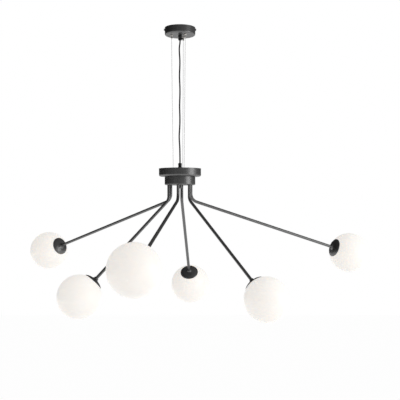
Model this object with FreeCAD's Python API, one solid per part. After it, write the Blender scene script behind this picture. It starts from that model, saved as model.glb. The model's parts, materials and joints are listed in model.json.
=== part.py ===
import FreeCAD, Part
import math
import os

# A branch chandelier: a round ceiling cup, three thin steel wires, a two-tier hub
# and six bent tubes, long and short in turn, each ending in a flared dish that
# carries a screw-on opal glass globe.  Millimetres, +Z up.  The origin is the
# centre of the ceiling bracket's two slots, on the ceiling plane, so that the
# whole light hangs in -Z.

V = FreeCAD.Vector
UP = V(0, 0, 1)
ORIGIN = V(0, 0, 0)

# --- driving dimensions -------------------------------------------------------

RUNNING_GAP = 0.05        # radial, between a shaft and the hole it turns or slides in
FREE_GAP = 0.3            # between pieces that only lie beside each other

# ceiling bracket
BRACKET_LENGTH = 96.0
BRACKET_WIDTH = 26.0
BRACKET_SHEET = 1.6
BRACKET_CORNER = 4.0
SLOT_SPACING = 60.0
SLOT_WIDTH = 4.6
SLOT_LENGTH = 16.0
BRACKET_CABLE_HOLE = 12.0
TAB_WIDTH = 12.0
TAB_DROP = 13.0
TAB_TO_CUP = 0.7          # room between a tab and the cup's wall

# ceiling cup
CUP_RADIUS = 54.0
CUP_HEIGHT = 28.0
CUP_WALL = 1.2
CUP_CORNER = 5.5
CUP_CEILING_GAP = 0.3

# side screws of the cup
SIDE_SCREW_SHANK = 4.0
SIDE_SCREW_HEAD = 8.0
SIDE_SCREW_HEAD_LENGTH = 3.2
SIDE_SCREW_LENGTH = 9.0
SIDE_SCREW_DROP = 7.5
SIDE_SCREW_ROUND = 1.2
SIDE_SCREW_SLOT_WIDTH = 1.0
SIDE_SCREW_SLOT_DEPTH = 1.2

# wiring terminal under the bracket
TERMINAL_LENGTH = 30.0
TERMINAL_WIDTH = 17.0
TERMINAL_HEIGHT = 13.0
TERMINAL_WAYS = 4
TERMINAL_WAY_BORE = 3.4
TERMINAL_WAY_SHARE = 0.6   # of the height, below the block's top
TERMINAL_OFFSET = 9.5
TERMINAL_CORNER = 1.0

# power cord and its two clamping glands
CORD_DIAMETER = 5.0
CORD_BEND_SHARE = 0.45    # of the shorter run beside a bend, taken up by its arc
GLAND_RADIUS = 6.8
GLAND_WAIST = 5.6
GLAND_WAIST_SHARE = 0.42  # of the gland's height
GLAND_SLOPE = 1.2         # height of the slopes into and out of the waist
GLAND_GROOVE = 1.0
GLAND_CAP_STEP = 0.6
GLAND_CAP_ROUND = 1.5
GLAND_SHANK = 10.0
GLAND_CORD_RECESS = 3.0
CUP_GLAND_HEIGHT = 17.0
HUB_GLAND_HEIGHT = 19.5
GLAND_NUT_ACROSS = 14.0
GLAND_NUT_HEIGHT = 3.5
GLAND_SHANK_PAST_NUT = 2.0
CLAMP_KNOB_RADIUS = 2.8
CLAMP_KNOB_REACH = 13.4
CLAMP_KNOB_SHARE = 0.68   # of the gland's height, from the cup
CLAMP_KNOB_ROOT = 2.0     # how deep the knob is seated in the gland
CLAMP_KNOB_TIP = 1.0
CLAMP_KNOB_CHAMFER = 0.8

# wire grippers under the cup
WIRE_DIAMETER = 1.2
WIRE_ANGLES = [38.5, 158.5, 278.5]
WIRE_RING_CUP = 30.0
WIRE_RING_HUB = 24.0
GRIPPER_SHANK = 8.0
GRIPPER_FLANGE = 11.0
GRIPPER_FLANGE_HEIGHT = 3.0
GRIPPER_FLANGE_ROUND = 0.8
GRIPPER_BODY_HEIGHT = 13.0
GRIPPER_NUT_ACROSS = 12.0
GRIPPER_NUT_HEIGHT = 3.0
PLUNGER_DIAMETER = 5.5
PLUNGER_BELOW = 9.5
PLUNGER_INSIDE = 5.0
PLUNGER_TRAVEL = 2.5
PLUNGER_SPRING_ROOM = 1.0 # left above the plunger when it is pressed in
PLUNGER_CHAMFER = 0.7
PLUNGER_CHAMFER_LENGTH = 1.4
FERRULE_DIAMETER = 6.0
FERRULE_HEIGHT = 9.0
FERRULE_ROUND = 0.8

# hub, from the lid down
SUSPENSION_DROP = 472.6   # underside of the ceiling cup to the top of the hub
PAN_RADIUS = 74.2
LID_RADIUS = PAN_RADIUS + 0.6
LID_SHEET = 2.0
LID_ROUND = 0.5
PAN_HEIGHT = 26.0
PAN_WALL = 1.4
PAN_CORNER = 6.0
LOWER_RADIUS = 54.0
SPACER_RADIUS = LOWER_RADIUS - 5.3
SPACER_HEIGHT = 2.0
LOWER_HEIGHT = 28.2
LOWER_WALL = 1.6
LOWER_CORNER = 3.5
ROD_DIAMETER = 10.0
ROD_BORE = 7.0
ROD_IN_GLAND = 8.0
ROD_IN_FINIAL = 7.0
FINIAL_RADIUS = 10.0
FINIAL_HEIGHT = 12.0
FINIAL_DOME = 4.0

# bent arm tubes
ARM_COUNT = 6
ARM_RING = LOWER_RADIUS - 12.0
FIRST_ARM_ANGLE = -7.45   # hub turned a little on its wires, as it hangs
HAND_TURNS = [-1.24, -0.05, -0.87, 2.59, -0.97, 0.02]
TUBE_DIAMETER = 10.5
TUBE_WALL = 1.0
BEND_RADIUS = 30.0
ELBOW_DROP = 52.7         # hub underside to where the two straight runs would meet
LONG_REACH = 653.5        # stub axis to globe centre, level
LONG_FALL = 198.7         # elbow to globe centre
SHORT_REACH = 319.9
SHORT_FALL = 327.4
BUSH_RADIUS = TUBE_DIAMETER / 2 + 2.85
BUSH_HEIGHT = 9.0
TUBE_HEAD_RADIUS = TUBE_DIAMETER / 2 + 2.25
TUBE_HEAD_HEIGHT = 3.0

# globe, its threaded ring and the dish that carries it
GLOBE_RADIUS = 75.0
GLASS = 3.0
GLOBE_HOLE = 18.5
RING_WALL = 2.6
RING_LENGTH = 9.0
RING_FLANGE = 21.5
RING_FLANGE_HEIGHT = 1.4
DISH_RIM = 34.0
DISH_GAP = 0.6
DISH_RIM_THICK = 1.7
DISH_MID_SHARE = 0.83     # of the rim's radius, where the saucer is DISH_MID_RISE above its inside
DISH_MID_RISE = 2.9
DISH_SHOULDER_SHARE = 0.62
DISH_SHOULDER_STEP = 0.5
DISH_CROWN = 4.6          # outer face of the dish above the glass near the neck
DISH_FLARE = 12.5
DISH_FLARE_WAIST = 1.2    # the flare's middle point, out from the neck
DISH_FLARE_RISE = 1.9     # and up from the crown
DISH_NECK = TUBE_DIAMETER / 2 + 2.25
DISH_NECK_TOP = 11.5      # neck end above the glass
DISH_NECK_LENGTH = 3.2
DISH_NECK_CHAMFER = 0.6
DISH_FLANGE_ROOM = 0.7    # radial, round the ring's flange
DISH_SEAT_DEPTH = 0.3     # flat face inside the dish, below the glass's top
TUBE_STOP = 1.8           # the tube ends this far under the dish's crown
SET_SCREW_HOLE = 2.4      # in the neck's underside, for the screw that holds the tube
SET_SCREW_LEVEL = 1.9     # from the neck's end
SPIGOT_WALL = 2.6
SPIGOT_LENGTH = 8.0
LAMPHOLDER_RADIUS = 11.0
LAMPHOLDER_LENGTH = 20.0
LAMPHOLDER_STEP = 1.5
LAMPHOLDER_SKIRT = 6.0
LAMPHOLDER_NIPPLE = TUBE_DIAMETER / 2 - TUBE_WALL - 0.55
LAMPHOLDER_NIPPLE_START = 0.2
BULB_RADIUS = 8.0
BULB_LENGTH = 30.0
BULB_PINCH = 2.0
BULB_PINCH_HEIGHT = 3.0
BULB_BASE_WIDTH = 12.0
BULB_BASE_THICK = 6.0
BULB_BASE_LENGTH = 6.0

# --- levels, worked out once --------------------------------------------------

CUP_TOP = -CUP_CEILING_GAP
CUP_BOTTOM = -CUP_HEIGHT
CUP_FLOOR = CUP_BOTTOM + CUP_WALL
LID_TOP = CUP_BOTTOM - SUSPENSION_DROP
PAN_TOP = LID_TOP - LID_SHEET
PAN_BOTTOM = PAN_TOP - PAN_HEIGHT
LOWER_TOP = PAN_BOTTOM - SPACER_HEIGHT
LOWER_BOTTOM = LOWER_TOP - LOWER_HEIGHT
LOWER_FLOOR = LOWER_BOTTOM + LOWER_WALL
ELBOW_LEVEL = LOWER_BOTTOM - ELBOW_DROP
GRIPPER_FACE = CUP_BOTTOM - GRIPPER_FLANGE_HEIGHT
GRIPPER_BORE_END = GRIPPER_FACE + PLUNGER_INSIDE + PLUNGER_TRAVEL + PLUNGER_SPRING_ROOM
CUP_GLAND_END = CUP_BOTTOM - CUP_GLAND_HEIGHT
HUB_GLAND_END = LID_TOP + HUB_GLAND_HEIGHT
CORD_TOP = CUP_GLAND_END + GLAND_CORD_RECESS
CORD_BOTTOM = HUB_GLAND_END - GLAND_CORD_RECESS

# The cord's route, chosen by hand from gland to gland: it leaves each gland
# straight and sways a few millimetres between them, unevenly, as it does when it
# is a little longer than the wires.
CORD_ROUTE = [
    (0.0, 0.0, CORD_TOP),
    (0.0, 0.0, -54.0),
    (-2.7, 0.5, -70.0),
    (-2.6, 0.9, -86.0),
    (-0.7, 0.7, -112.0),
    (-0.5, 0.1, -134.0),
    (-2.0, -0.6, -165.0),
    (-1.8, -0.9, -184.0),
    (-0.4, -0.5, -209.0),
    (-0.2, 0.3, -235.0),
    (-1.1, 0.9, -261.0),
    (-1.8, 0.8, -281.0),
    (-0.6, 0.2, -309.0),
    (-0.3, -0.5, -335.0),
    (-1.3, -0.9, -360.0),
    (-2.9, -0.6, -381.0),
    (-2.5, 0.0, -401.0),
    (-0.7, 0.5, -425.0),
    (-0.4, 0.4, -447.0),
    (0.0, 0.0, -468.0),
    (0.0, 0.0, CORD_BOTTOM),
]


# --- small tools --------------------------------------------------------------

def polar(radius, angle, level=0.0):
    """A point at an angle from the front (-Y), positive towards +X."""
    a = math.radians(angle)
    return V(radius * math.sin(a), -radius * math.cos(a), level)


def cylinder(radius, bottom, top, centre=ORIGIN):
    return Part.makeCylinder(radius, top - bottom, V(centre.x, centre.y, bottom))


def hex_prism(across, bottom, top, centre=ORIGIN):
    corner = across / math.sqrt(3)
    points = [
        V(centre.x + corner * math.cos(math.radians(60 * i)),
          centre.y + corner * math.sin(math.radians(60 * i)), bottom)
        for i in range(7)
    ]
    return Part.Face(Part.makePolygon(points)).extrude(V(0, 0, top - bottom))


def turned(outline):
    """Revolves a closed half profile about Z.

    The outline is a list of (radius, height) points; a step of two points is an
    arc, through the first to the second.
    """
    edges = []
    here = V(outline[0][0], 0, outline[0][1])
    for step in outline[1:] + [outline[0]]:
        if isinstance(step[0], tuple):
            middle = V(step[0][0], 0, step[0][1])
            there = V(step[1][0], 0, step[1][1])
            edges.append(Part.Arc(here, middle, there).toShape())
        else:
            there = V(step[0], 0, step[1])
            if there.distanceToPoint(here) > 1e-7:
                edges.append(Part.LineSegment(here, there).toShape())
        here = there
    face = Part.Face(Part.Wire(edges))
    return face.revolve(ORIGIN, UP, 360)


def corner(centre_r, centre_z, radius, start, end):
    """The arc step of a rounded corner, between two angles in degrees."""
    def at(angle):
        a = math.radians(angle)
        return (centre_r + radius * math.cos(a), centre_z + radius * math.sin(a))
    return (at((start + end) / 2), at(end))


def drawn_pan(radius, top, bottom, wall, outer_corner):
    """A drawn sheet pan, open at the top, with a rounded bottom edge."""
    inner_corner = outer_corner - wall
    centre_r = radius - outer_corner
    centre_z = bottom + outer_corner
    return turned([
        (0, bottom),
        (centre_r, bottom),
        corner(centre_r, centre_z, outer_corner, -90, 0),
        (radius, top),
        (radius - wall, top),
        (radius - wall, centre_z),
        corner(centre_r, centre_z, inner_corner, 0, -90),
        (0, bottom + wall),
    ])


def rounded_run(points, share):
    """Straight runs joined by tangent arcs, each as large as its two runs allow.

    Returns the wire and the radii of its arcs.
    """
    points = [V(*p) for p in points]
    edges = []
    radii = []
    here = points[0]
    for before, at, after in zip(points, points[1:], points[2:]):
        back = (before - at).normalize()
        on = (after - at).normalize()
        turn = math.pi - back.getAngle(on)
        tangent = share * min((before - at).Length, (after - at).Length)
        radius = tangent / math.tan(turn / 2)
        radii.append(radius)
        start = at + back * tangent
        end = at + on * tangent
        towards = (back + on).normalize()
        middle = at + towards * (radius / math.cos(turn / 2) - radius)
        edges.append(Part.LineSegment(here, start).toShape())
        edges.append(Part.Arc(start, middle, end).toShape())
        here = end
    edges.append(Part.LineSegment(here, points[-1]).toShape())
    return Part.Wire(edges), radii


def swept(wire, start, direction, radius):
    profile = Part.Wire(Part.makeCircle(radius, start, direction))
    return wire.makePipeShell([profile], True, False)


# --- ceiling bracket, cup and wiring ------------------------------------------

def slot_cut(x):
    half = (SLOT_LENGTH - SLOT_WIDTH) / 2
    middle = Part.makeBox(2 * half, SLOT_WIDTH, 3 * BRACKET_SHEET,
                          V(x - half, -SLOT_WIDTH / 2, -2 * BRACKET_SHEET))
    ends = [
        cylinder(SLOT_WIDTH / 2, -2 * BRACKET_SHEET, BRACKET_SHEET, V(x + side * half, 0, 0))
        for side in (-1, 1)
    ]
    return middle.fuse(ends).removeSplitter()


def ceiling_bracket():
    tab_face = CUP_RADIUS - CUP_WALL - TAB_TO_CUP
    plate = Part.makeBox(BRACKET_LENGTH, BRACKET_WIDTH, BRACKET_SHEET,
                         V(-BRACKET_LENGTH / 2, -BRACKET_WIDTH / 2, -BRACKET_SHEET))
    upright = [e for e in plate.Edges if abs(e.tangentAt(e.FirstParameter).z) > 0.9]
    plate = plate.makeFillet(BRACKET_CORNER, upright)
    for side in (-1, 1):
        strip = Part.makeBox(tab_face - BRACKET_LENGTH / 2 + BRACKET_CORNER, TAB_WIDTH, BRACKET_SHEET,
                             V(BRACKET_LENGTH / 2 - BRACKET_CORNER, -TAB_WIDTH / 2, -BRACKET_SHEET))
        tab = Part.makeBox(BRACKET_SHEET, TAB_WIDTH, TAB_DROP,
                           V(tab_face - BRACKET_SHEET, -TAB_WIDTH / 2, -TAB_DROP))
        hole = Part.makeCylinder(SIDE_SCREW_SHANK / 2 + RUNNING_GAP, 4 * BRACKET_SHEET,
                                 V(tab_face - 3 * BRACKET_SHEET, 0, -SIDE_SCREW_DROP), V(1, 0, 0))
        piece = strip.fuse(tab).cut(hole)
        if side < 0:
            piece.rotate(ORIGIN, UP, 180)
        plate = plate.fuse(piece)
    for x in (-SLOT_SPACING / 2, SLOT_SPACING / 2):
        plate = plate.cut(slot_cut(x))
    plate = plate.cut(cylinder(BRACKET_CABLE_HOLE / 2, -2 * BRACKET_SHEET, BRACKET_SHEET))
    return plate.removeSplitter()


def ceiling_cup():
    cup = drawn_pan(CUP_RADIUS, CUP_TOP, CUP_BOTTOM, CUP_WALL, CUP_CORNER)
    cup = cup.cut(cylinder(GLAND_SHANK / 2 + FREE_GAP, CUP_BOTTOM - 1, CUP_FLOOR + 1))
    for angle in WIRE_ANGLES:
        centre = polar(WIRE_RING_CUP, angle)
        cup = cup.cut(cylinder(GRIPPER_SHANK / 2 + FREE_GAP, CUP_BOTTOM - 1, CUP_FLOOR + 1, centre))
    across = Part.makeCylinder(SIDE_SCREW_SHANK / 2 + FREE_GAP, 2 * CUP_RADIUS + 2,
                               V(-CUP_RADIUS - 1, 0, -SIDE_SCREW_DROP), V(1, 0, 0))
    return cup.cut(across)


def side_screw(side):
    head_face = CUP_RADIUS + RUNNING_GAP
    head = turned([
        (0, 0),
        (SIDE_SCREW_HEAD / 2, 0),
        (SIDE_SCREW_HEAD / 2, SIDE_SCREW_HEAD_LENGTH - SIDE_SCREW_ROUND),
        corner(SIDE_SCREW_HEAD / 2 - SIDE_SCREW_ROUND, SIDE_SCREW_HEAD_LENGTH - SIDE_SCREW_ROUND,
               SIDE_SCREW_ROUND, 0, 90),
        (0, SIDE_SCREW_HEAD_LENGTH),
    ])
    drive = Part.makeBox(SIDE_SCREW_HEAD, SIDE_SCREW_SLOT_WIDTH, 2 * SIDE_SCREW_SLOT_DEPTH,
                         V(-SIDE_SCREW_HEAD / 2, -SIDE_SCREW_SLOT_WIDTH / 2,
                           SIDE_SCREW_HEAD_LENGTH - SIDE_SCREW_SLOT_DEPTH))
    shank = cylinder(SIDE_SCREW_SHANK / 2, -SIDE_SCREW_LENGTH, 0)
    screw = head.cut(drive).fuse(shank)
    screw.rotate(ORIGIN, V(0, 1, 0), 90)
    screw.translate(V(head_face, 0, -SIDE_SCREW_DROP))
    if side < 0:
        screw.rotate(ORIGIN, UP, 180)
    return screw


def terminal_block():
    top = -BRACKET_SHEET
    block = Part.makeBox(TERMINAL_LENGTH, TERMINAL_WIDTH, TERMINAL_HEIGHT,
                         V(-TERMINAL_LENGTH / 2, -TERMINAL_OFFSET - TERMINAL_WIDTH / 2,
                           top - TERMINAL_HEIGHT))
    block = block.makeFillet(TERMINAL_CORNER, block.Edges)
    pitch = TERMINAL_LENGTH / TERMINAL_WAYS
    for i in range(TERMINAL_WAYS):
        x = (i + 0.5) * pitch - TERMINAL_LENGTH / 2
        bore = Part.makeCylinder(TERMINAL_WAY_BORE / 2, 2 * TERMINAL_WIDTH,
                                 V(x, -TERMINAL_OFFSET - TERMINAL_WIDTH,
                                   top - TERMINAL_WAY_SHARE * TERMINAL_HEIGHT), V(0, 1, 0))
        block = block.cut(bore)
    return block


# --- cord glands --------------------------------------------------------------

def gland(height):
    """A clamping gland that stands on z = 0 with the cord leaving at its top."""
    waist_level = GLAND_WAIST_SHARE * height
    groove_top = waist_level + GLAND_GROOVE
    cap_radius = GLAND_RADIUS - GLAND_CAP_STEP
    round_level = height - GLAND_CAP_ROUND
    body = turned([
        (0, 0),
        (GLAND_RADIUS, 0),
        (GLAND_RADIUS, waist_level - GLAND_SLOPE),
        (GLAND_WAIST, waist_level),
        (GLAND_WAIST, groove_top),
        (cap_radius, groove_top + GLAND_SLOPE),
        (cap_radius, round_level),
        corner(cap_radius - GLAND_CAP_ROUND, round_level, GLAND_CAP_ROUND, 0, 90),
        (0, height),
    ])
    recess = cylinder(CORD_DIAMETER / 2 + FREE_GAP, height - GLAND_CORD_RECESS, height + 1)
    return body.cut(recess)


def cup_gland():
    body = gland(CUP_GLAND_HEIGHT)
    body.rotate(ORIGIN, V(1, 0, 0), 180)
    body.translate(V(0, 0, CUP_BOTTOM))
    shank = cylinder(GLAND_SHANK / 2, CUP_BOTTOM, CUP_FLOOR + GLAND_NUT_HEIGHT + GLAND_SHANK_PAST_NUT)
    knob_level = CUP_BOTTOM - CLAMP_KNOB_SHARE * CUP_GLAND_HEIGHT
    knob_start = GLAND_RADIUS - CLAMP_KNOB_ROOT
    tip_start = CLAMP_KNOB_REACH - CLAMP_KNOB_TIP
    knob = Part.makeCylinder(CLAMP_KNOB_RADIUS, tip_start - knob_start,
                             V(knob_start, 0, knob_level), V(1, 0, 0))
    tip = Part.makeCone(CLAMP_KNOB_RADIUS, CLAMP_KNOB_RADIUS - CLAMP_KNOB_CHAMFER, CLAMP_KNOB_TIP,
                        V(tip_start, 0, knob_level), V(1, 0, 0))
    return body.fuse([shank, knob, tip]).removeSplitter()


def cup_gland_nut():
    nut = hex_prism(GLAND_NUT_ACROSS, CUP_FLOOR, CUP_FLOOR + GLAND_NUT_HEIGHT)
    return nut.cut(cylinder(GLAND_SHANK / 2 + RUNNING_GAP, CUP_FLOOR - 1, CUP_FLOOR + 2 * GLAND_NUT_HEIGHT))


def hub_gland():
    body = gland(HUB_GLAND_HEIGHT)
    body.translate(V(0, 0, LID_TOP))
    socket = cylinder(ROD_DIAMETER / 2 + RUNNING_GAP, LID_TOP - 1, LID_TOP + ROD_IN_GLAND)
    return body.cut(socket)


# --- wires and grippers -------------------------------------------------------

def gripper_axis(angle):
    """The wire's line through one gripper, from the hub up, as a unit vector."""
    top = polar(WIRE_RING_CUP, angle, CUP_BOTTOM)
    foot = polar(WIRE_RING_HUB, angle, LID_TOP)
    return (top - foot).normalize()


def gripper_body(angle):
    centre = polar(WIRE_RING_CUP, angle)
    flange = cylinder(GRIPPER_FLANGE / 2, GRIPPER_FACE, CUP_BOTTOM, centre)
    flange = flange.makeFillet(GRIPPER_FLANGE_ROUND, [flange.Edges[2]])
    shank = cylinder(GRIPPER_SHANK / 2, CUP_BOTTOM, CUP_BOTTOM + GRIPPER_BODY_HEIGHT, centre)
    bore = cylinder(PLUNGER_DIAMETER / 2 + RUNNING_GAP, GRIPPER_FACE - 1, GRIPPER_BORE_END, centre)
    return flange.fuse(shank).cut(bore)


def gripper_nut(angle):
    centre = polar(WIRE_RING_CUP, angle)
    nut = hex_prism(GRIPPER_NUT_ACROSS, CUP_FLOOR, CUP_FLOOR + GRIPPER_NUT_HEIGHT, centre)
    return nut.cut(cylinder(GRIPPER_SHANK / 2 + RUNNING_GAP, CUP_FLOOR - 1,
                            CUP_FLOOR + 2 * GRIPPER_NUT_HEIGHT, centre))


def gripper_plunger(angle):
    centre = polar(WIRE_RING_CUP, angle)
    top = GRIPPER_FACE + PLUNGER_INSIDE
    tip = GRIPPER_FACE - PLUNGER_BELOW
    radius = PLUNGER_DIAMETER / 2
    bore = WIRE_DIAMETER / 2 + FREE_GAP
    plunger = turned([
        (bore, top),
        (radius, top),
        (radius, tip + PLUNGER_CHAMFER_LENGTH),
        (radius - PLUNGER_CHAMFER, tip),
        (bore, tip),
    ])
    plunger.translate(V(centre.x, centre.y, 0))
    return plunger


def suspension_wire(angle):
    """From inside the gripper, through the plunger and the lid, to its ferrule."""
    along = gripper_axis(angle)
    at_cup = polar(WIRE_RING_CUP, angle, CUP_BOTTOM)
    top = at_cup + along * ((GRIPPER_BORE_END - RUNNING_GAP - CUP_BOTTOM) / along.z)
    foot = at_cup + along * ((PAN_TOP + RUNNING_GAP - CUP_BOTTOM) / along.z)
    return Part.makeCylinder(WIRE_DIAMETER / 2, (top - foot).Length, foot, along)


def wire_ferrule(angle):
    centre = polar(WIRE_RING_HUB, angle)
    ferrule = cylinder(FERRULE_DIAMETER / 2, PAN_TOP - FERRULE_HEIGHT, PAN_TOP, centre)
    return ferrule.makeFillet(FERRULE_ROUND, [ferrule.Edges[2]])


def power_cord():
    wire, radii = rounded_run(CORD_ROUTE, CORD_BEND_SHARE)
    tube = swept(wire, V(*CORD_ROUTE[0]), V(0, 0, -1), CORD_DIAMETER / 2)
    section = math.pi * CORD_DIAMETER ** 2 / 4
    print("power cord: length %.1f mm, arc radii %s mm, volume / (section x length) %.4f" % (
        wire.Length, [round(r) for r in radii], tube.Volume / (section * wire.Length)))
    return tube


# --- hub ----------------------------------------------------------------------

def hub_lid():
    lid = cylinder(LID_RADIUS, PAN_TOP, LID_TOP)
    rim = [e for e in lid.Edges if e.Closed and e.BoundBox.ZMin > PAN_TOP + LID_SHEET / 2]
    lid = lid.makeFillet(LID_ROUND, rim)
    lid = lid.cut(cylinder(ROD_DIAMETER / 2 + FREE_GAP, PAN_TOP - 1, LID_TOP + 1))
    for angle in WIRE_ANGLES:
        hole = cylinder(WIRE_DIAMETER / 2 + FREE_GAP, PAN_TOP - 1, LID_TOP + 1,
                        polar(WIRE_RING_HUB, angle))
        lid = lid.cut(hole)
    return lid


def hub_pan():
    pan = drawn_pan(PAN_RADIUS, PAN_TOP, PAN_BOTTOM, PAN_WALL, PAN_CORNER)
    return pan.cut(cylinder(ROD_DIAMETER / 2 + FREE_GAP, PAN_BOTTOM - 1, PAN_BOTTOM + PAN_CORNER))


def hub_spacer():
    ring = cylinder(SPACER_RADIUS, LOWER_TOP, PAN_BOTTOM)
    return ring.cut(cylinder(ROD_DIAMETER / 2 + FREE_GAP, LOWER_TOP - 1, PAN_BOTTOM + 1))


def arm_angle(k):
    return FIRST_ARM_ANGLE + k * 360.0 / ARM_COUNT


def hub_lower_cup():
    cup = drawn_pan(LOWER_RADIUS, LOWER_TOP, LOWER_BOTTOM, LOWER_WALL, LOWER_CORNER)
    cup = cup.cut(cylinder(ROD_DIAMETER / 2 + FREE_GAP, LOWER_BOTTOM - 1, LOWER_FLOOR + 1))
    for k in range(ARM_COUNT):
        hole = cylinder(TUBE_DIAMETER / 2 + FREE_GAP, LOWER_BOTTOM - 1, LOWER_FLOOR + 1,
                        polar(ARM_RING, arm_angle(k)))
        cup = cup.cut(hole)
    return cup


def swivel_bush(k):
    centre = polar(ARM_RING, arm_angle(k))
    bush = cylinder(BUSH_RADIUS, LOWER_FLOOR, LOWER_FLOOR + BUSH_HEIGHT, centre)
    bore = cylinder(TUBE_DIAMETER / 2 + RUNNING_GAP, LOWER_FLOOR - 1, LOWER_FLOOR + BUSH_HEIGHT + 1,
                    centre)
    return bush.cut(bore)


def centre_rod():
    bottom = LOWER_BOTTOM - ROD_IN_FINIAL
    top = LID_TOP + ROD_IN_GLAND
    rod = cylinder(ROD_DIAMETER / 2, bottom, top)
    return rod.cut(cylinder(ROD_BORE / 2, bottom - 1, top + 1))


def finial_nut():
    tip = LOWER_BOTTOM - FINIAL_HEIGHT
    nut = turned([
        (0, LOWER_BOTTOM),
        (FINIAL_RADIUS, LOWER_BOTTOM),
        (FINIAL_RADIUS, tip + FINIAL_DOME),
        corner(FINIAL_RADIUS - FINIAL_DOME, tip + FINIAL_DOME, FINIAL_DOME, 0, -90),
        (0, tip),
    ])
    socket = cylinder(ROD_DIAMETER / 2 + RUNNING_GAP, LOWER_BOTTOM - ROD_IN_FINIAL, LOWER_BOTTOM + 1)
    return nut.cut(socket)


# --- arms, dishes and globes --------------------------------------------------

def is_long(k):
    return k % 2 == 0


def arm_run(k):
    """Level reach and fall of one arm, from its elbow to its globe's centre."""
    if is_long(k):
        return LONG_REACH, LONG_FALL
    return SHORT_REACH, SHORT_FALL


def arm_placement(k):
    """Arm space: the stub is the Z axis, and the arm leaves towards +X."""
    turn = arm_angle(k) + HAND_TURNS[k] - 90
    return FreeCAD.Placement(polar(ARM_RING, arm_angle(k)), FreeCAD.Rotation(UP, turn))


def shade_placement(k):
    """Shade space: the globe's centre is the origin, and +Z leads away from the tube."""
    reach, fall = arm_run(k)
    leaving = FreeCAD.Rotation(UP, V(reach, 0, -fall))
    local = FreeCAD.Placement(V(reach, 0, ELBOW_LEVEL - fall), leaving)
    return arm_placement(k).multiply(local)


def glass_height(radius, from_glass=0.0):
    """How far behind the globe's centre a sphere that much larger than the glass lies."""
    return -math.sqrt((GLOBE_RADIUS + from_glass) ** 2 - radius ** 2)


TUBE_END = -(GLOBE_RADIUS + DISH_CROWN - TUBE_STOP)
DISH_SEAT = -(GLOBE_RADIUS - DISH_SEAT_DEPTH)
NECK_END = -(GLOBE_RADIUS + DISH_NECK_TOP)
RING_BORE = GLOBE_HOLE - FREE_GAP - RING_WALL
SPIGOT_RADIUS = RING_BORE - FREE_GAP
FLANGE_TOP = DISH_SEAT + FREE_GAP
FLANGE_BOTTOM = FLANGE_TOP + RING_FLANGE_HEIGHT


def arm_tube(k):
    reach, fall = arm_run(k)
    along = V(reach, 0, -fall).normalize()
    turn = math.acos(-along.z)
    tangent = BEND_RADIUS * math.tan(turn / 2)
    elbow = V(0, 0, ELBOW_LEVEL)
    head_level = LOWER_FLOOR + BUSH_HEIGHT + RUNNING_GAP
    top = V(0, 0, head_level + TUBE_HEAD_HEIGHT)
    bend_start = elbow + UP * tangent
    bend_end = elbow + along * tangent
    towards = (UP + along).normalize()
    middle = elbow + towards * (BEND_RADIUS / math.cos(turn / 2) - BEND_RADIUS)
    end = V(reach, 0, ELBOW_LEVEL - fall) + along * TUBE_END
    path = Part.Wire([
        Part.LineSegment(top, bend_start).toShape(),
        Part.Arc(bend_start, middle, bend_end).toShape(),
        Part.LineSegment(bend_end, end).toShape(),
    ])
    outside = swept(path, top, V(0, 0, -1), TUBE_DIAMETER / 2)
    inside = swept(path, top, V(0, 0, -1), TUBE_DIAMETER / 2 - TUBE_WALL)
    head = cylinder(TUBE_HEAD_RADIUS, head_level, head_level + TUBE_HEAD_HEIGHT)
    tube = outside.fuse(head).cut(inside)
    tube.Placement = arm_placement(k)
    return tube


def dish():
    rim_outer = glass_height(DISH_RIM, DISH_GAP + DISH_RIM_THICK)
    rim_inner = glass_height(DISH_RIM, DISH_GAP)
    recess = RING_FLANGE + DISH_FLANGE_ROOM
    inner_r = (recess + DISH_RIM) / 2
    inner_middle = (inner_r, glass_height(inner_r, DISH_GAP))
    outer_r = DISH_MID_SHARE * DISH_RIM
    outer_middle = (outer_r, glass_height(outer_r, DISH_GAP + DISH_MID_RISE))
    shoulder_r = DISH_SHOULDER_SHARE * DISH_RIM
    shoulder = glass_height(shoulder_r, DISH_CROWN - DISH_SHOULDER_STEP)
    flare_start = glass_height(DISH_FLARE, DISH_CROWN)
    flare_r = DISH_NECK + DISH_FLARE_WAIST
    flare_middle = (flare_r, glass_height(flare_r, DISH_CROWN + DISH_FLARE_RISE))
    neck_foot = NECK_END + DISH_NECK_LENGTH
    body = turned([
        (0, DISH_SEAT),
        (recess, DISH_SEAT),
        (recess, glass_height(recess, DISH_GAP)),
        (inner_middle, (DISH_RIM, rim_inner)),
        (DISH_RIM, rim_outer),
        (outer_middle, (shoulder_r, shoulder)),
        (DISH_FLARE, flare_start),
        (flare_middle, (DISH_NECK, neck_foot)),
        (DISH_NECK, NECK_END + DISH_NECK_CHAMFER),
        (DISH_NECK - DISH_NECK_CHAMFER, NECK_END),
        (0, NECK_END),
    ])
    spigot = cylinder(SPIGOT_RADIUS, DISH_SEAT, DISH_SEAT + SPIGOT_LENGTH)
    spigot = spigot.cut(cylinder(SPIGOT_RADIUS - SPIGOT_WALL, DISH_SEAT, DISH_SEAT + 2 * SPIGOT_LENGTH))
    bore = cylinder(TUBE_DIAMETER / 2 + RUNNING_GAP, NECK_END - 1, TUBE_END)
    wire_way = cylinder(LAMPHOLDER_NIPPLE + RUNNING_GAP, NECK_END, DISH_SEAT + 1)
    screw_hole = Part.makeCylinder(SET_SCREW_HOLE / 2, 2 * DISH_NECK,
                                   V(0, 0, NECK_END + SET_SCREW_LEVEL), V(1, 0, 0))
    return body.fuse(spigot).cut([bore, wire_way, screw_hole]).removeSplitter()


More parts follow.
